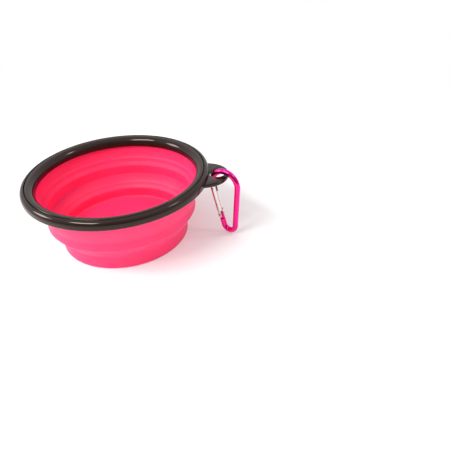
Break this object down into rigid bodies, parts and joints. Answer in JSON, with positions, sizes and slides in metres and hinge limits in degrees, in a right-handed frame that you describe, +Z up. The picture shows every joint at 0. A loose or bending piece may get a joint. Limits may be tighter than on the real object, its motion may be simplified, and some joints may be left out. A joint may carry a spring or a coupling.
{
  "type": "collapsible dog bowl",
  "caption": "Round stepped silicone bowl clamped in a two-part plastic rim, folding flat ring by ring, with a tab and a spring-gate clip for hanging.",
  "frame": {"origin": "centre of the base's underside, on the surface that the open bowl stands on", "axes": "+Z up along the bowl's axis, +X from the axis towards the tab and its clip"},
  "size_m": [0.1519, 0.13, 0.0521],
  "materials": {
    "rim_plastic": "moulded gloss",
    "silicone": "moulded satin",
    "anodised_aluminium": "dyed anodised gloss",
    "polished_aluminium": "polished",
    "pin_steel": "drawn wire"
  },
  "bodies": {
    "rim": {"rim_upper_ring": "rim_plastic", "rim_lower_ring": "rim_plastic", "wall_top_ring": "silicone"},
    "middle_ring": {"wall_middle_ring": "silicone", "upper_fold_web": "silicone"},
    "base": {"base_cup": "silicone", "lower_fold_web": "silicone"},
    "clip": {"carabiner_body": "anodised_aluminium"},
    "gate": {"carabiner_gate": "polished_aluminium", "gate_hinge_rivet": "pin_steel", "gate_latch_pin": "pin_steel", "gate_spring": "pin_steel"}
  },
  "joints": [
    {"name": "upper_fold", "type": "slide", "parent": "rim", "child": "middle_ring", "axis": [0, 0, 1], "range_m": [0, 0.0185], "deforming": ["upper_fold_web"]},
    {"name": "lower_fold", "type": "slide", "parent": "middle_ring", "child": "base", "axis": [0, 0, 1], "range_m": [0, 0.0185], "deforming": ["lower_fold_web"]},
    {"name": "clip_swing", "type": "hinge", "parent": "rim", "child": "clip", "pos_m": [0.07657, -0.00428, 0.0457], "axis": [-0.5, -0.866, 0], "range_deg": [-4, 180]},
    {"name": "gate_hinge", "type": "hinge", "parent": "clip", "child": "gate", "pos_m": [0.07234, -0.00184, 0.01452], "axis": [0.5, 0.866, 0], "range_deg": [0, 25], "stiffness_Nm_per_rad": 0.1, "springref_deg": -17.19, "deforming": ["gate_spring"]}
  ]
}
